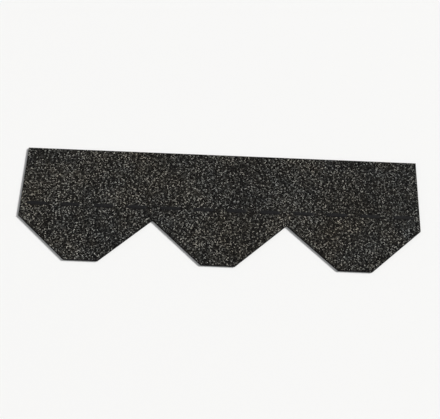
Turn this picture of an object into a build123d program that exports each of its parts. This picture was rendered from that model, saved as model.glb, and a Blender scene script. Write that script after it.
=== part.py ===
"""Asphalt strip shingle with hexagonal tabs, lying flat with its granule face up.

The strip is die-cut from one coated and surfaced felt, so it is one solid. Two
things are put on it afterwards: a row of bitumen dashes on the top, which the
tabs of the next course stick to, and a film on the back, which keeps the strips
from sticking together in their pack.

Frame: X runs along the strip, the tabs point to -Y and +Z is the granule face.
The origin is the middle of the strip's length and height, on its back. Sizes
are in millimetres.
"""
from build123d import *
import os

# Strip
STRIP_LENGTH = 1000.0
EXPOSURE = 143.0  # height of each course that stays in view on the roof
HEADLAP = 51.0  # height that the next two courses both cover
THICKNESS = 4.5

# Tabs and the V-shaped cut-outs between them, with half a cut-out at each end
TAB_COUNT = 3
TIP_WIDTH = 83.0
CUT_MARGIN = 18.0  # from a cut-out's peak up to the tips of the next course
TIP_RADIUS = 2.0
PEAK_RADIUS = 1.5

# Seal dashes, on the top face just above the line of the next course's tips
DASHES_PER_TAB = 4
DASH_LENGTH = 52.0
DASH_WIDTH = 12.0
DASH_HEIGHT = 0.8
DASH_BEVEL = 0.4
DASH_SETBACK = 14.0  # from the line of the tips to the near side of the dashes

# Release film, set flush in the back below the seal dashes
FILM_WIDTH = 32.0
FILM_THICKNESS = 0.3

# Places that follow from these sizes
STRIP_HEIGHT = 2 * EXPOSURE + HEADLAP
TAB_PITCH = STRIP_LENGTH / TAB_COUNT
TIP_LINE_Y = -STRIP_HEIGHT / 2
EXPOSURE_LINE_Y = TIP_LINE_Y + EXPOSURE
PEAK_LINE_Y = EXPOSURE_LINE_Y - CUT_MARGIN
SEAL_LINE_Y = EXPOSURE_LINE_Y + DASH_SETBACK + DASH_WIDTH / 2


def cut_out():
    """What the die takes out between two tabs: a V whose peak the knife rounds."""
    half_mouth = (TAB_PITCH - TIP_WIDTH) / 2
    mouth_left, mouth_right = (-half_mouth, TIP_LINE_Y), (half_mouth, TIP_LINE_Y)
    wedge = make_face(Polyline(mouth_left, (0, PEAK_LINE_Y), mouth_right, close=True))
    peak = wedge.vertices().sort_by(Axis.Y)[-1]
    return fillet(peak, PEAK_RADIUS)


def strip_outline():
    """The strip from above. The end cuts pass through the middle of a cut-out."""
    cut_outs = [place * cut_out() for place in GridLocations(TAB_PITCH, 0, TAB_COUNT + 1, 1)]
    outline = Rectangle(STRIP_LENGTH, STRIP_HEIGHT) - cut_outs
    tip_corners = outline.vertices().group_by(Axis.Y)[0]
    return fillet(tip_corners, TIP_RADIUS)


def release_film():
    """The film along the whole back, its lower side level with the back."""
    on_back = (Align.CENTER, Align.CENTER, Align.MIN)
    film = Box(STRIP_LENGTH, FILM_WIDTH, FILM_THICKNESS, align=on_back)
    return Pos(0, SEAL_LINE_Y, 0) * film


def shingle():
    """The die-cut strip, its back pressed in where the film lies."""
    return extrude(strip_outline(), THICKNESS) - release_film()


def seal_dash():
    """One bead of seal bitumen with round ends and a bevelled upper face."""
    bead = extrude(SlotOverall(DASH_LENGTH, DASH_WIDTH), DASH_HEIGHT)
    upper_face = bead.faces().sort_by(Axis.Z)[-1]
    return chamfer(upper_face.edges(), DASH_BEVEL)


def seal_dashes():
    """The row of beads, evenly spaced over the strip's length."""
    places = GridLocations(TAB_PITCH / DASHES_PER_TAB, 0, TAB_COUNT * DASHES_PER_TAB, 1)
    on_top = Pos(0, SEAL_LINE_Y, THICKNESS)
    return Compound([on_top * place * seal_dash() for place in places])


pieces = {
    "shingle": shingle(),
    "seal_dashes": seal_dashes(),
    "release_film": release_film(),
}

os.makedirs("parts", exist_ok=True)
for node, piece in pieces.items():
    export_step(piece, f"parts/{node}.step")
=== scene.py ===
"""One asphalt strip shingle with hexagonal tabs, dressed for its studio picture.

The strip lies flat with its granule face up. Crushed stones of six colours are
bedded in the bitumen coat, the die-cut edge is torn and black, beads of seal
bitumen cross the middle, and a film runs along the sanded back. All lengths are
metres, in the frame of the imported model.
"""

import math

import bmesh
import bpy
import numpy as np
from mathutils import Matrix, Vector, geometry, kdtree, noise


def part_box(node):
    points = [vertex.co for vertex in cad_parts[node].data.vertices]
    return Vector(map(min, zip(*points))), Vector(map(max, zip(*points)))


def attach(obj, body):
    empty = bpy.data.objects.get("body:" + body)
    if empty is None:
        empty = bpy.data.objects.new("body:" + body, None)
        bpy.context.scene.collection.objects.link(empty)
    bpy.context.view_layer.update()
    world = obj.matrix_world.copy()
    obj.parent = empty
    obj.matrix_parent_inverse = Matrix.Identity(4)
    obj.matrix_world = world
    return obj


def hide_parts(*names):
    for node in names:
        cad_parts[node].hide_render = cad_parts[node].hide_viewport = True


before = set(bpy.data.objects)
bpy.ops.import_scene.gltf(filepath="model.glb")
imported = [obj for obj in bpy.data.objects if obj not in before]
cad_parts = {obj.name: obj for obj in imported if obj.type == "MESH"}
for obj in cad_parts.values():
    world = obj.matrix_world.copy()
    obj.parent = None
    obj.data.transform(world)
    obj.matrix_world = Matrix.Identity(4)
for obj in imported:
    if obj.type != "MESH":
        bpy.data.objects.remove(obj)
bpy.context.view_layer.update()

MM = 0.001
SEED = 7

# The strip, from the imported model, and its tabs
strip_low, strip_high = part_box("shingle")
dashes_low, dashes_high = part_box("seal_dashes")
film_low, film_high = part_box("release_film")
LEFT, TIP_LINE = strip_low.x, strip_low.y
RIGHT, TOP_EDGE = strip_high.x, strip_high.y
THICKNESS = strip_high.z
TAB_COUNT = 3
TAB_PITCH = (RIGHT - LEFT) / TAB_COUNT
TIP_WIDTH = 83 * MM
TIP_RADIUS = 2 * MM
CUT_DEPTH = 125 * MM
PEAK_RADIUS = 1.5 * MM
PEAK_LINE = TIP_LINE + CUT_DEPTH
SIDE_SLOPE = CUT_DEPTH / ((TAB_PITCH - TIP_WIDTH) / 2)

# The coat
COAT_HEIGHT = 3.95 * MM
COAT_WAVE = 0.1 * MM
COAT_WAVE_SIZE = 70 * MM
COAT_RIPPLE_SIZE = 17 * MM
EDGE_ROLL = 0.5 * MM  # how far the die presses the coat down at the cut
EDGE_ROLL_REACH = 1.2 * MM
SHOULDER = 0.45 * MM  # from the cut in to where the coat starts
TEAR_SIZE = 2.5 * MM

# The sheet's mesh
EDGE_STEP = 1.6 * MM
CUT_ROWS = (1.1 * MM, 2.2 * MM, 3.8 * MM)  # rows of the top that follow the cut
COAT_MESH = 5 * MM
COAT_MESH_INSET = 5.5 * MM
BACK_MESH = 16 * MM
BACK_MESH_INSET = 6 * MM
BED_STEP = 0.1 * MM  # the run of the small step beside the film
BED_MARGIN = 2 * MM

# The stones
STONE_SPACING = 1.95 * MM
STONE_LOOSENESS = 0.38
STONE_SIZES = (0.55, 1.5)  # the smallest and the largest, beside a middling one
STONE_REACH = 0.72  # of a middling stone's corners at most, as a share of the spacing
CORNER_SHAKE = 0.33  # of the even way from one corner to the next
CORNER_SHARES = (0.8, 1.0)  # how much of its reach a corner takes
RIDGE_SHARES = (0.25, 0.6)  # how far out a ridge's ends lie, of the way to the corners
RISE_SHARES = (0.4, 1.1)  # how high they stand, beside the stone's mean reach
STONE_RISE = 1.2 * MM  # of the highest ridges
STONE_SUNK = 0.15 * MM
BARE_EDGE = 0.8 * MM  # where the die has knocked the stones off
SMALLEST_ROOM = 0.4 * MM  # beside the bare edge, for a stone to be kept
UNDER_BEADS = 0.9 * MM  # how far the stones go on under a seal bead

# Their colours
CLUMP_SIZE = 3.7 * MM  # of stones of like colour
CLUMP_LOOSENESS = 0.5
UNLIKENESS = 0.5  # of a clump and its neighbours, from 0 to 1
OWN_PALENESS = 0.3  # of a stone, beside its clump's
DRIFT_PALENESS = 0.15
DRIFT_SIZE = 140 * MM

# The blend, from dark to pale: each colour of stone and its share
STONE_BLEND = {
    "black": ((0.0025, 0.002, 0.002), 0.18),
    "charcoal": ((0.0095, 0.009, 0.009), 0.18),
    "slate": ((0.035, 0.035, 0.034), 0.20),
    "umber": ((0.094, 0.090, 0.082), 0.17),
    "grey": ((0.208, 0.211, 0.207), 0.15),
    "buff": ((0.590, 0.585, 0.555), 0.12),
}
# The tints it drifts between along the strip
COOL_TINT = (0.945, 1.0, 1.03, 1)
WARM_TINT = (1.085, 1.0, 0.855, 1)

# The seal dashes, run as beads
DASHES_PER_TAB = 4
DASH_PITCH = TAB_PITCH / DASHES_PER_TAB
DASH_LENGTH = 52 * MM
DASH_WIDTH = dashes_high.y - dashes_low.y
DASH_LINE = (dashes_high.y + dashes_low.y) / 2
DASH_SUNK = 0.5 * MM
BEAD_STEP = 1.2 * MM
BEAD_RINGS = (1.0, 0.97, 0.9, 0.78, 0.6, 0.35, 0.0)  # from the rim in to the spine
BEAD_FULLNESS = 2.5  # of the crown, where 2 is round
BEAD_WOBBLE = 0.25  # how far the rim draws in, as a share of the half width
BEAD_WOBBLE_SIZE = 6 * MM
BEAD_LUMP = 0.22 * MM
BEAD_LUMP_SIZE = 4 * MM


# Shapes


def smooth_noise(x, y, size, layer=0.0):
    """Smooth waves of about the given size, from -1 to 1. Each layer has its own."""
    return np.array([noise.noise((u, v, layer)) for u, v in zip(x / size, y / size)])


def die_path(corners, step):
    """Points about every step round a closed path, anticlockwise, its corners rounded.

    Each corner is (x, y, radius).
    """
    turned = []
    for i, (x, y, radius) in enumerate(corners):
        corner = Vector((x, y))
        back = (Vector(corners[i - 1][:2]) - corner).normalized()
        on = (Vector(corners[(i + 1) % len(corners)][:2]) - corner).normalized()
        if radius == 0:
            turned.append(corner)
            continue
        half_angle = back.angle(on) / 2
        middle = corner + (back + on).normalized() * radius / math.sin(half_angle)
        start = corner + back * radius / math.tan(half_angle) - middle
        end = corner + on * radius / math.tan(half_angle) - middle
        sweep = start.angle_signed(end)
        parts = max(3, round(abs(sweep) * radius / step))
        for k in range(parts + 1):
            turned.append(middle + Matrix.Rotation(-sweep * k / parts, 2) @ start)
    path = []
    for here, there in zip(turned, turned[1:] + turned[:1]):
        parts = max(1, round((there - here).length / step))
        path += [here.lerp(there, k / parts) for k in range(parts)]
    return np.array(path)


def inward(path):
    """The direction into the material at each point of an anticlockwise path."""
    along = np.roll(path, -1, axis=0) - np.roll(path, 1, axis=0)
    along /= np.linalg.norm(along, axis=1, keepdims=True)
    return np.column_stack([-along[:, 1], along[:, 0]])


def strip_corners():
    """The strip's outline, anticlockwise from its top left, with marks where the film ends."""
    film_marks = [film_high.y + BED_STEP, film_high.y, film_low.y, film_low.y - BED_STEP]
    corners = [(LEFT, TOP_EDGE, 0)]
    corners += [(LEFT, y, 0) for y in film_marks]
    for tab in range(TAB_COUNT):
        centre = LEFT + (tab + 0.5) * TAB_PITCH
        corners.append((centre - TAB_PITCH / 2, PEAK_LINE, PEAK_RADIUS if tab else 0))
        corners.append((centre - TIP_WIDTH / 2, TIP_LINE, TIP_RADIUS))
        corners.append((centre + TIP_WIDTH / 2, TIP_LINE, TIP_RADIUS))
    corners.append((RIGHT, PEAK_LINE, 0))
    corners += [(RIGHT, y, 0) for y in reversed(film_marks)]
    corners.append((RIGHT, TOP_EDGE, 0))
    return corners


def inset(x, y):
    """How far a place lies in from the cut edge. Outside the strip it is negative."""
    off_centre = np.abs((x - LEFT) % TAB_PITCH - TAB_PITCH / 2)
    above_side = y - TIP_LINE - SIDE_SLOPE * (off_centre - TIP_WIDTH / 2)
    from_side = above_side / math.hypot(1, SIDE_SLOPE)
    from_ends = np.minimum(x - LEFT, RIGHT - x)
    from_rows = np.minimum(y - TIP_LINE, TOP_EDGE - y)
    return np.minimum(from_side, np.minimum(from_ends, from_rows))


def from_dash(x, y):
    """How far a place lies outside the nearest seal dash. On a dash it is negative."""
    off_centre = np.abs((x - LEFT) % DASH_PITCH - DASH_PITCH / 2)
    beyond_run = np.maximum(off_centre - (DASH_LENGTH - DASH_WIDTH) / 2, 0)
    return np.hypot(beyond_run, y - DASH_LINE) - DASH_WIDTH / 2


def coat_height(x, y):
    """The top of the coat: slow waves from the rollers, pressed down along the cut."""
    waves = smooth_noise(x, y, COAT_WAVE_SIZE)
    ripples = 0.5 * smooth_noise(x, y, COAT_RIPPLE_SIZE, layer=3.0)
    roll = EDGE_ROLL * np.exp(-np.maximum(inset(x, y), 0) / EDGE_ROLL_REACH)
    return COAT_HEIGHT + COAT_WAVE * (waves + ripples) - roll


def loose_rows(spacing, random, looseness, wander=0.0):
    """Places in staggered rows past all edges, each shaken from its own spot.

    The shake and how far the rows wander are shares of the spacing.
    """
    row_gap = spacing * math.sqrt(3) / 2
    beyond = 2  # rows and columns past each edge
    rows = math.ceil((TOP_EDGE - TIP_LINE) / row_gap) + 2 * beyond
    columns = math.ceil((RIGHT - LEFT) / spacing) + 2 * beyond + 1
    row, column = np.mgrid[0:rows, 0:columns]
    x = LEFT + (column - beyond - row % 2 / 2) * spacing
    y = TIP_LINE + (row - beyond) * row_gap
    shape, shake = x.shape, looseness * spacing
    bend_size = 7 * spacing
    bends = [smooth_noise(x.ravel(), y.ravel(), bend_size, layer) for layer in (20.0, 30.0)]
    x, y = (at + wander * spacing * bend.reshape(shape) for at, bend in zip((x, y), bends))
    return x + random.uniform(-shake, shake, shape), y + random.uniform(-shake, shake, shape)


def dots(bm, x, y, z):
    """New vertices at the places given."""
    return [bm.verts.new(place) for place in zip(x, y, z)]


def band(bm, lower, upper, finish=0):
    """Faces between two rings of vertices."""
    for i in range(len(lower)):
        j = (i + 1) % len(lower)
        face = bm.faces.new((lower[i], lower[j], upper[j], upper[i]))
        face.material_index = finish


def fill(bm, rim, inner, finish, across=(), turned=False):
    """Triangles between a ring of vertices and those inside it, facing up or turned down.

    Across are pairs of the ring's vertices, by number, that an edge has to join.
    """
    vertices = rim + inner
    places = [vertex.co.xy for vertex in vertices]
    edges = [(i, (i + 1) % len(rim)) for i in range(len(rim))] + list(across)
    inside_only, nearest = 1, 1e-8
    made = geometry.delaunay_2d_cdt(places, edges, [], inside_only, nearest)
    triangles, origins = made[2], made[3]
    for triangle in triangles:
        corners = [vertices[origins[i][0]] for i in triangle]
        face = bm.faces.new(reversed(corners) if turned else corners)
        face.material_index = finish


def smoothed(name, bm, crease):
    """A mesh of what was made, smooth but for edges sharper than the crease in degrees."""
    mesh = bpy.data.meshes.new(name)
    bm.to_mesh(mesh)
    bm.free()
    mesh.shade_smooth()
    mesh.set_sharp_from_angle(angle=math.radians(crease))
    return mesh


def made_piece(name, mesh, finishes):
    """Puts a mesh into the scene as a piece that rides on the strip."""
    piece = bpy.data.objects.new(name, mesh)
    bpy.context.collection.objects.link(piece)
    for finish in finishes:
        mesh.materials.append(finish)
    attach(piece, "root")
    return piece


# The coated sheet, whose faces have three finishes

COAT, CUT, BACK = range(3)


def torn_edge(bm, path, into):
    """Rings of vertices up the cut edge, from the back to the coat's shoulder."""
    # For each ring, in millimetres: how far in from the cut, how high, and how much torn
    profile = [
        (0.25, 0.00, 0.05),
        (0.02, 0.35, 0.10),
        (0.08, 1.20, 0.30),
        (0.15, 2.10, 0.35),
        (0.05, 2.80, 0.20),
        (0.10, 3.25, 0.15),
    ]
    x, y = path.T
    over_film = (y >= film_low.y) & (y <= film_high.y)
    back_height = np.where(over_film, film_high.z, 0.0)
    rings = []
    for depth, height, tear in profile:
        torn = tear * (0.5 + 0.5 * smooth_noise(x, y, TEAR_SIZE, layer=height))
        places = path + into * (depth + torn)[:, None] * MM
        rings.append(dots(bm, *places.T, np.maximum(height * MM, back_height)))
    shoulder = (path + into * SHOULDER).T
    rings.append(dots(bm, *shoulder, coat_height(*shoulder)))
    for lower, upper in zip(rings[:-2], rings[1:-1]):
        band(bm, lower, upper, CUT)
    band(bm, rings[-2], rings[-1], COAT)
    return rings


def coat_side(bm, rim, path, into, random):
    """The top inside the shoulder: loose rows, and beside the cut rows that follow it."""
    x, y = (places.ravel() for places in loose_rows(COAT_MESH, random, looseness=0.2))
    inside = inset(x, y) > COAT_MESH_INSET
    x, y = x[inside], y[inside]
    for depth in CUT_ROWS:
        u, v = (path + into * depth).T
        nearly = 0.97 * depth
        apart = inset(u, v) > nearly  # where no other side of the strip comes closer
        x, y = np.append(x, u[apart]), np.append(y, v[apart])
    fill(bm, rim, dots(bm, x, y, coat_height(x, y)), COAT)


def back_side(bm, rim, path, random):
    """The back, with a small step up into the film's bed."""
    bed_edges = np.array([film_low.y, film_high.y])
    x, y = (places.ravel() for places in loose_rows(BACK_MESH, random, looseness=0.1))
    clear = np.abs(y[:, None] - bed_edges).min(axis=1) > BED_MARGIN
    inside = (inset(x, y) > BACK_MESH_INSET) & clear
    x, y = x[inside], y[inside]
    z = np.where((y > film_low.y) & (y < film_high.y), film_high.z, 0.0)
    at_step = np.abs(path[:, 1:] - bed_edges).min(axis=1) < 1.1 * BED_STEP
    left, right = np.split(np.flatnonzero(at_step), 2)
    fill(bm, rim, dots(bm, x, y, z), BACK, across=zip(left, right[::-1]), turned=True)


def coated_sheet(finishes):
    """The felt with its coat: torn cut edge, waved top and a back with the film's bed."""
    random = np.random.default_rng(SEED)
    path = die_path(strip_corners(), EDGE_STEP)
    into = inward(path)
    bm = bmesh.new()
    rings = torn_edge(bm, path, into)
    coat_side(bm, rings[-1], path, into, random)
    back_side(bm, rings[0], path, random)
    bmesh.ops.recalc_face_normals(bm, faces=bm.faces)
    mesh = smoothed("coated_sheet", bm, crease=40)
    piece = made_piece("coated_sheet", mesh, finishes)
    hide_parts("shingle")


# The stones


def neighbours(x, y, size):
    """For the six stones round each stone: the way there, and this stone's share of it."""
    row, column = np.indices(x.shape)
    lean = np.where(row % 2, -1, 1)  # the side to which the rows next to this one are set
    around = []
    for up, over in ((0, 1), (0, -1), (1, 0), (-1, 0), (1, lean), (-1, lean)):
        next_row = np.clip(row + up, 0, x.shape[0] - 1)
        next_column = np.clip(column + over, 0, x.shape[1] - 1)
        there = next_row, next_column
        around.append((x[there] - x, y[there] - y, size / (size + size[there])))
    return around


def stone_outlines(random):
    """Crushed stones, close packed: their middles and the five corners of each.

    Big and small stones share the way between them by their sizes, and each corner
    stops a little short of its stone's share of it, and inside the cut edge.
    """
    x, y = loose_rows(STONE_SPACING, random, STONE_LOOSENESS, wander=1.0)
    size = random.uniform(*STONE_SIZES, x.shape)
    first = random.uniform(0, 2 * math.pi, x.shape)
    around = neighbours(x, y, size)
    edge_room = inset(x, y) - BARE_EDGE
    corners = []
    for k in range(5):
        turns = k + random.uniform(-CORNER_SHAKE, CORNER_SHAKE, x.shape)
        angle = first + turns * 2 * math.pi / 5
        u, v = np.cos(angle), np.sin(angle)
        reach = STONE_REACH * STONE_SPACING * size
        for dx, dy, share in around:
            towards = dx * u + dy * v
            facing = towards > 0.1 * STONE_SPACING
            border = share * (dx**2 + dy**2) / np.where(facing, towards, 1)
            reach = np.where(facing, np.minimum(reach, border), reach)
        reach = np.minimum(reach * random.uniform(*CORNER_SHARES, x.shape), edge_room)
        corners.append((reach * u, reach * v))
    kept = (edge_room > SMALLEST_ROOM) & (from_dash(x, y) > -UNDER_BEADS)
    middles = np.stack([x[kept], y[kept]], axis=-1)
    corners = np.stack([[u[kept], v[kept]] for u, v in corners]).transpose(2, 0, 1)
    return middles, corners


def stone_mesh(name, middles, corners, random):
    """One mesh of crushed stones: five corners in the coat and a ridge of two on top."""
    count = len(middles)
    ridge = np.stack([corners[:, 0], (corners[:, 2] + corners[:, 3]) / 2], axis=1)
    ridge = middles[:, None] + ridge * random.uniform(*RIDGE_SHARES, (count, 2, 1))
    reach = np.linalg.norm(corners, axis=2).mean(axis=1)
    ground = coat_height(*middles.T) - STONE_SUNK
    rise = np.minimum(reach[:, None] * random.uniform(*RISE_SHARES, (count, 2)), STONE_RISE)
    points = np.empty((count, 7, 3))
    points[:, :5, :2] = middles[:, None] + corners
    points[:, 5:, :2] = ridge
    points[:, :5, 2] = ground[:, None]
    points[:, 5:, 2] = ground[:, None] + rise
    sides = [(0, 1, 5), (1, 6, 5), (1, 2, 6), (2, 3, 6), (3, 4, 6), (4, 5, 6), (4, 0, 5)]
    foot = [(0, 2, 1), (0, 3, 2), (0, 4, 3)]
    faces = np.array(sides + foot) + 7 * np.arange(count)[:, None, None]
    mesh = bpy.data.meshes.new(name)
    mesh.from_pydata(points.reshape(-1, 3), [], faces.reshape(-1, 3))
    # Stones seen from above, so that a picture of their colours fits the strip
    flat = points.reshape(-1, 3)[faces.ravel(), :2]
    share = (flat - (LEFT, TIP_LINE)) / (RIGHT - LEFT, TOP_EDGE - TIP_LINE)
    mesh.uv_layers.new(name="OFBake").uv.foreach_set("vector", share.astype("f").ravel())
    return mesh


def clumped(x, y, random):
    """A lot for each place, shared by the few stones of a clump and unlike its neighbours'."""
    u, v = loose_rows(CLUMP_SIZE, random, CLUMP_LOOSENESS)
    lots = random.uniform(-1, 1, u.shape)
    shifts = ((0, 1), (0, -1), (1, 0), (-1, 0))
    lots -= UNLIKENESS * sum(np.roll(lots, shift, (0, 1)) for shift in shifts) / len(shifts)
    clumps = kdtree.KDTree(u.size)
    for i, place in enumerate(zip(u.ravel(), v.ravel())):
        clumps.insert((*place, 0), i)
    clumps.balance()
    lots = lots.ravel()
    return np.array([lots[clumps.find((*place, 0))[1]] for place in zip(x, y)])


def granules():
    """The stones, one piece for each colour of the blend, in loose drifts and clumps."""
    random = np.random.default_rng(SEED)
    middles, corners = stone_outlines(random)
    x, y = middles.T
    paleness = clumped(x, y, random)
    paleness += OWN_PALENESS * random.uniform(-1, 1, len(x))
    paleness += DRIFT_PALENESS * smooth_noise(x, y, DRIFT_SIZE, layer=9.0)
    order = np.argsort(paleness)
    first = 0
    for colour, (tone, share) in STONE_BLEND.items():
        last = first + round(share * len(order))
        chosen = np.sort(order[first:last])
        name = f"granules_{colour}"
        mesh = stone_mesh(name, middles[chosen], corners[chosen], random)
        made_piece(name, mesh, [stone_finish(name, tone)])
        first = last


# The seal beads


def seal_beads(finish):
    """The seal dashes as run beads: wavy rims, soft crowns and a few lumps."""
    x, y = DASH_LENGTH / 2, DASH_WIDTH / 2
    rim = die_path([(-x, -y, y), (x, -y, y), (x, y, y), (-x, y, y)], BEAD_STEP)
    half_run = x - y
    spine = np.column_stack([np.clip(rim[:, 0], -half_run, half_run), np.zeros(len(rim))])
    foot = THICKNESS - DASH_SUNK
    rise = dashes_high.z - foot
    bm = bmesh.new()
    for dash in range(TAB_COUNT * DASHES_PER_TAB):
        middle = np.array([LEFT + (dash + 0.5) * DASH_PITCH, DASH_LINE])
        wobble = 0.5 + 0.5 * smooth_noise(*rim.T, BEAD_WOBBLE_SIZE, layer=dash + 0.5)
        shrunk = rim - (rim - spine) * BEAD_WOBBLE * wobble[:, None]
        rings = []
        for share in BEAD_RINGS:
            places = (middle + spine + (shrunk - spine) * share).T
            lumps = BEAD_LUMP * smooth_noise(*places, BEAD_LUMP_SIZE, layer=2.0)
            crown = math.sqrt(1 - share**BEAD_FULLNESS)
            rings.append(dots(bm, *places, foot + crown * (rise - BEAD_LUMP + lumps)))
        for lower, upper in zip(rings, rings[1:]):
            band(bm, lower, upper)
        bm.faces.new(reversed(rings[0]))
    bmesh.ops.remove_doubles(bm, verts=bm.verts, dist=0.02 * MM)
    bmesh.ops.triangulate(bm, faces=bm.faces)
    mesh = smoothed("seal_beads", bm, crease=60)
    piece = made_piece("seal_beads", mesh, [finish])
    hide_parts("seal_dashes")


# What the finishes share


def new_group(name, inputs, outputs):
    """An empty shader group with named sockets, and its ends."""
    group = bpy.data.node_groups.new(name, "ShaderNodeTree")
    for label, kind, value in inputs:
        group.interface.new_socket(label, in_out="INPUT", socket_type=kind).default_value = value
    for label, kind in outputs:
        group.interface.new_socket(label, in_out="OUTPUT", socket_type=kind)
    return group, group.nodes.new("NodeGroupInput"), group.nodes.new("NodeGroupOutput")


def add(tree, kind, values=None, **settings):
    """A node with its settings, and values or links for its sockets, by name or number."""
    node = tree.nodes.new(kind)
    for name, setting in settings.items():
        setattr(node, name, setting)
    for socket, value in (values or {}).items():
        if isinstance(value, bpy.types.NodeSocket):
            tree.links.new(value, node.inputs[socket])
        else:
            node.inputs[socket].default_value = value
    return node


def place_group(tree, group, values):
    """A shared group in a material, with values or links for its sockets."""
    return add(tree, "ShaderNodeGroup", values, node_tree=group)


def grain_group():
    """Fine grain of a chosen size: a roughness between two limits and a height."""
    group, ins, outs = new_group(
        "fine_grain",
        [
            ("Size", "NodeSocketFloat", 1 * MM),
            ("Smooth", "NodeSocketFloat", 0.4),
            ("Rough", "NodeSocketFloat", 0.8),
        ],
        [("Roughness", "NodeSocketFloat"), ("Height", "NodeSocketFloat")],
    )
    places = add(group, "ShaderNodeTexCoord").outputs["Object"]
    scale = add(group, "ShaderNodeMath", {0: 1.0, 1: ins.outputs["Size"]}, operation="DIVIDE")
    texture = add(
        group,
        "ShaderNodeTexNoise",
        {"Vector": places, "Scale": scale.outputs[0], "Detail": 3.0, "Roughness": 0.6},
    )
    spread = add(
        group,
        "ShaderNodeMapRange",
        {
            "Value": texture.outputs["Fac"],
            "From Min": 0.3,
            "From Max": 0.7,
            "To Min": ins.outputs["Smooth"],
            "To Max": ins.outputs["Rough"],
        },
    )
    group.links.new(spread.outputs["Result"], outs.inputs["Roughness"])
    group.links.new(texture.outputs["Fac"], outs.inputs["Height"])
    return group


def drift_group():
    """Slow change of tone and tint along the strip, from one part of a batch to the next."""
    group, ins, outs = new_group(
        "batch_drift",
        [("Color", "NodeSocketColor", (1, 1, 1, 1)), ("Amount", "NodeSocketFloat", 0.2)],
        [("Color", "NodeSocketColor")],
    )
    places = add(group, "ShaderNodeTexCoord").outputs["Object"]
    bright = add(group, "ShaderNodeTexNoise", {"Vector": places, "Scale": 9.0, "Detail": 2.0})
    warm = add(
        group,
        "ShaderNodeTexNoise",
        {"Vector": places, "Scale": 5.0, "Detail": 5.0, "Roughness": 0.75},
    )
    warmth = add(
        group,
        "ShaderNodeMapRange",
        {"Value": warm.outputs["Fac"], "From Min": 0.3, "From Max": 0.7},
    )
    tint = add(
        group,
        "ShaderNodeMix",
        {"Factor": warmth.outputs["Result"], "A": COOL_TINT, "B": WARM_TINT},
        data_type="RGBA",
    )
    amount = ins.outputs["Amount"]
    low = add(group, "ShaderNodeMath", {0: 1.0, 1: amount}, operation="SUBTRACT")
    high = add(group, "ShaderNodeMath", {0: 1.0, 1: amount}, operation="ADD")
    tone = add(
        group,
        "ShaderNodeMapRange",
        {
            "Value": bright.outputs["Fac"],
            "From Min": 0.3,
            "From Max": 0.7,
            "To Min": low.outputs[0],
            "To Max": high.outputs[0],
        },
    )
    tinted = add(
        group,
        "ShaderNodeVectorMath",
        {0: ins.outputs["Color"], 1: tint.outputs["Result"]},
        operation="MULTIPLY",
    )
    toned = add(
        group,
        "ShaderNodeVectorMath",
        {0: tinted.outputs[0], "Scale": tone.outputs["Result"]},
        operation="SCALE",
    )
    group.links.new(toned.outputs[0], outs.inputs["Color"])
    return group


def fines_group():
    """Fine mineral specks of a chosen size over a ground colour."""
    group, ins, outs = new_group(
        "mineral_fines",
        [
            ("Ground", "NodeSocketColor", (0.01, 0.01, 0.01, 1)),
            ("Speck", "NodeSocketColor", (0.1, 0.1, 0.1, 1)),
            ("Size", "NodeSocketFloat", 0.5 * MM),
            ("Share", "NodeSocketFloat", 0.3),
        ],
        [("Color", "NodeSocketColor"), ("Height", "NodeSocketFloat")],
    )
    places = add(group, "ShaderNodeTexCoord").outputs["Object"]
    scale = add(group, "ShaderNodeMath", {0: 1.0, 1: ins.outputs["Size"]}, operation="DIVIDE")
    cells = add(group, "ShaderNodeTexVoronoi", {"Vector": places, "Scale": scale.outputs[0]})
    lot = add(group, "ShaderNodeSeparateColor", {"Color": cells.outputs["Color"]})
    chosen = add(
        group,
        "ShaderNodeMath",
        {0: lot.outputs["Red"], 1: ins.outputs["Share"]},
        operation="LESS_THAN",
    )
    shown = add(
        group,
        "ShaderNodeMath",
        {0: chosen.outputs[0], 1: lot.outputs["Green"]},
        operation="MULTIPLY",
    )
    colour = add(
        group,
        "ShaderNodeMix",
        {"Factor": shown.outputs[0], "A": ins.outputs["Ground"], "B": ins.outputs["Speck"]},
        data_type="RGBA",
    )
    height = add(
        group,
        "ShaderNodeMath",
        {0: 1.0, 1: cells.outputs["Distance"]},
        operation="SUBTRACT",
    )
    group.links.new(colour.outputs["Result"], outs.inputs["Color"])
    group.links.new(height.outputs[0], outs.inputs["Height"])
    return group


GRAIN = grain_group()
DRIFT = drift_group()
FINES = fines_group()


def new_finish(name):
    """A material, its tree and its shader."""
    material = bpy.data.materials.new(name)
    material.use_nodes = True
    return material, material.node_tree, material.node_tree.nodes["Principled BSDF"]


def tone_between(tree, amount, low, high):
    """A tone that goes from low to high. Each is a place in the amount, and its colour."""
    ramp = add(tree, "ShaderNodeValToRGB", {"Fac": amount})
    for element, (place, colour) in zip(ramp.color_ramp.elements, (low, high)):
        element.position = place
        element.color = (*colour, 1)
    return ramp.outputs["Color"]


def give_grain(tree, shader, size, smooth, rough):
    """Lets the roughness vary with fine grain, and gives the grain's height."""
    grain = place_group(tree, GRAIN, {"Size": size, "Smooth": smooth, "Rough": rough})
    tree.links.new(grain.outputs["Roughness"], shader.inputs["Roughness"])
    return grain.outputs["Height"]


def raise_by(tree, shader, height, distance):
    """Lets a height from 0 to 1 stand the given distance proud in the light."""
    bump = add(tree, "ShaderNodeBump", {"Height": height, "Distance": distance, "Strength": 1.0})
    tree.links.new(bump.outputs["Normal"], shader.inputs["Normal"])


# Finishes


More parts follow.
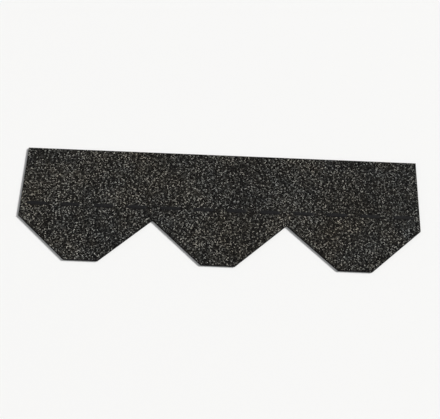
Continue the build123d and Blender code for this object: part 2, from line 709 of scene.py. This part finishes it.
def stone_finish(name, tone):
    """Crushed stone with a ceramic colour on it, each stone a little different."""
    material, tree, shader = new_finish(name)
    drift = place_group(tree, DRIFT, {"Color": (*tone, 1), "Amount": 0.12})
    own = add(tree, "ShaderNodeNewGeometry").outputs["Random Per Island"]
    spread = add(tree, "ShaderNodeMapRange", {"Value": own, "To Min": 0.5, "To Max": 1.6})
    colour = add(
        tree,
        "ShaderNodeVectorMath",
        {0: drift.outputs["Color"], "Scale": spread.outputs["Result"]},
        operation="SCALE",
    )
    tree.links.new(colour.outputs[0], shader.inputs["Base Color"])
    shader.inputs["Specular IOR Level"].default_value = 0.015
    grain = give_grain(tree, shader, size=0.35 * MM, smooth=0.5, rough=0.85)
    raise_by(tree, shader, grain, 0.05 * MM)
    return material


def coat_finish():
    """Black bitumen between the stones, with fines pressed into it."""
    material, tree, shader = new_finish("bitumen_coat")
    fines = place_group(
        tree,
        FINES,
        {
            "Ground": (0.004, 0.004, 0.005, 1),
            "Speck": (0.05, 0.047, 0.042, 1),
            "Size": 0.55 * MM,
            "Share": 0.3,
        },
    )
    drift = place_group(tree, DRIFT, {"Color": fines.outputs["Color"], "Amount": 0.12})
    tree.links.new(drift.outputs["Color"], shader.inputs["Base Color"])
    shader.inputs["Specular IOR Level"].default_value = 0.015
    give_grain(tree, shader, size=0.5 * MM, smooth=0.45, rough=0.8)
    raise_by(tree, shader, fines.outputs["Height"], 0.25 * MM)
    return material


def cut_finish():
    """The die-cut side: black bitumen, torn felt in thin layers and a few cut fines."""
    material, tree, shader = new_finish("die_cut_edge")
    places = add(tree, "ShaderNodeTexCoord").outputs["Object"]
    layered = add(tree, "ShaderNodeMapping", {"Vector": places, "Scale": (90.0, 90.0, 1600.0)})
    felt = add(
        tree, "ShaderNodeTexNoise", {"Vector": layered.outputs[0], "Scale": 1.0, "Detail": 4.0}
    ).outputs["Fac"]
    black, torn = (0.42, (0.003, 0.003, 0.0035)), (0.70, (0.016, 0.015, 0.014))
    fines = place_group(
        tree,
        FINES,
        {
            "Ground": tone_between(tree, felt, black, torn),
            "Speck": (0.06, 0.055, 0.05, 1),
            "Size": 0.6 * MM,
            "Share": 0.10,
        },
    )
    tree.links.new(fines.outputs["Color"], shader.inputs["Base Color"])
    shader.inputs["Specular IOR Level"].default_value = 0.08
    give_grain(tree, shader, size=0.6 * MM, smooth=0.45, rough=0.85)
    raise_by(tree, shader, felt, 0.3 * MM)
    return material


def back_finish():
    """The back: bitumen dusted with fine sand."""
    material, tree, shader = new_finish("sanded_back")
    fines = place_group(
        tree,
        FINES,
        {
            "Ground": (0.010, 0.010, 0.011, 1),
            "Speck": (0.17, 0.16, 0.145, 1),
            "Size": 0.5 * MM,
            "Share": 0.55,
        },
    )
    drift = place_group(tree, DRIFT, {"Color": fines.outputs["Color"], "Amount": 0.25})
    tree.links.new(drift.outputs["Color"], shader.inputs["Base Color"])
    shader.inputs["Specular IOR Level"].default_value = 0.1
    give_grain(tree, shader, size=0.5 * MM, smooth=0.65, rough=0.95)
    raise_by(tree, shader, fines.outputs["Height"], 0.2 * MM)
    return material


def bead_finish():
    """Seal bitumen: black and soft, shinier than the coat, with a little dust."""
    material, tree, shader = new_finish("seal_bitumen_bead")
    dust = place_group(
        tree,
        FINES,
        {
            "Ground": (0.003, 0.003, 0.0035, 1),
            "Speck": (0.05, 0.048, 0.045, 1),
            "Size": 0.5 * MM,
            "Share": 0.06,
        },
    )
    tree.links.new(dust.outputs["Color"], shader.inputs["Base Color"])
    shader.inputs["Specular IOR Level"].default_value = 0.12
    grain = give_grain(tree, shader, size=2.5 * MM, smooth=0.42, rough=0.75)
    raise_by(tree, shader, grain, 0.5 * MM)
    return material


def film_finish():
    """Release film: pale, smooth plastic with fine creases along the strip."""
    material, tree, shader = new_finish("release_film_plastic")
    places = add(tree, "ShaderNodeTexCoord").outputs["Object"]
    drawn = add(tree, "ShaderNodeMapping", {"Vector": places, "Scale": (12.0, 160.0, 1.0)})
    creases = add(
        tree, "ShaderNodeTexNoise", {"Vector": drawn.outputs[0], "Scale": 1.0, "Detail": 3.0}
    ).outputs["Fac"]
    dim, pale = (0.3, (0.36, 0.39, 0.41)), (0.7, (0.47, 0.50, 0.52))
    tree.links.new(tone_between(tree, creases, dim, pale), shader.inputs["Base Color"])
    give_grain(tree, shader, size=6 * MM, smooth=0.2, rough=0.4)
    raise_by(tree, shader, creases, 0.4 * MM)
    return material


# Studio


def pale_floor():
    """A pale floor under the strip, well past the picture's edges."""
    reach = 12.0
    below_strip = 0.05 * MM
    mesh = bpy.data.meshes.new("floor")
    corners = [(-reach, -reach, 0), (reach, -reach, 0), (reach, reach, 0), (-reach, reach, 0)]
    mesh.from_pydata(corners, [], [(0, 1, 2, 3)])
    material, tree, shader = new_finish("pale_floor")
    shader.inputs["Base Color"].default_value = (0.93, 0.93, 0.925, 1)
    shader.inputs["Roughness"].default_value = 0.9
    mesh.materials.append(material)
    floor = bpy.data.objects.new("floor", mesh)
    floor.location.z = -below_strip
    bpy.context.collection.objects.link(floor)


def low_sun():
    """The key: even light over the whole floor, low from the upper right."""
    upper_right = Vector((0.80, 0.42, 0.50))
    sun = bpy.data.lights.new("key_light", "SUN")
    sun.energy = 4.35
    sun.angle = math.radians(12)
    sun.color = (1.0, 0.993, 0.98)
    key = bpy.data.objects.new("key_light", sun)
    key.rotation_euler = upper_right.to_track_quat("Z", "Y").to_euler()
    bpy.context.collection.objects.link(key)


def pale_room():
    """Soft light from all round, in a room that looks white itself and in reflections."""
    world = bpy.data.worlds.new("pale_room")
    world.use_nodes = True
    tree = world.node_tree
    path = add(tree, "ShaderNodeLightPath").outputs
    seen = add(
        tree,
        "ShaderNodeMath",
        {0: path["Is Camera Ray"], 1: path["Is Glossy Ray"]},
        operation="ADD",
        use_clamp=True,
    )
    through = add(
        tree,
        "ShaderNodeMath",
        {0: seen.outputs[0], 1: path["Is Transmission Ray"]},
        operation="ADD",
        use_clamp=True,
    )
    level = add(
        tree,
        "ShaderNodeMapRange",
        {"Value": through.outputs[0], "To Min": 0.33, "To Max": 1.0},
    )
    sky = tree.nodes["Background"]
    sky.inputs["Color"].default_value = (0.98, 0.99, 1.0, 1)
    tree.links.new(level.outputs["Result"], sky.inputs["Strength"])
    bpy.context.scene.world = world


def camera():
    """Down over the tabs at the photograph's viewing angle, through a long lens."""
    elevation = math.radians(55)
    lean = math.radians(2.35)
    distance = 3.0
    towards = Vector((0, -math.cos(elevation), math.sin(elevation)))
    lens = bpy.data.cameras.new("camera")
    lens.lens = 98
    lens.sensor_width = 36
    view = bpy.data.objects.new("camera", lens)
    view.location = towards * distance
    turn = towards.to_track_quat("Z", "Y").to_matrix().to_4x4()
    view.rotation_euler = (turn @ Matrix.Rotation(lean, 4, "Z")).to_euler()
    bpy.context.collection.objects.link(view)
    bpy.context.scene.camera = view


camera()
low_sun()
pale_room()
pale_floor()
bpy.context.scene.view_settings.view_transform = "Standard"
coated_sheet([coat_finish(), cut_finish(), back_finish()])
granules()
seal_beads(bead_finish())
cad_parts["release_film"].material_slots[0].material = film_finish()
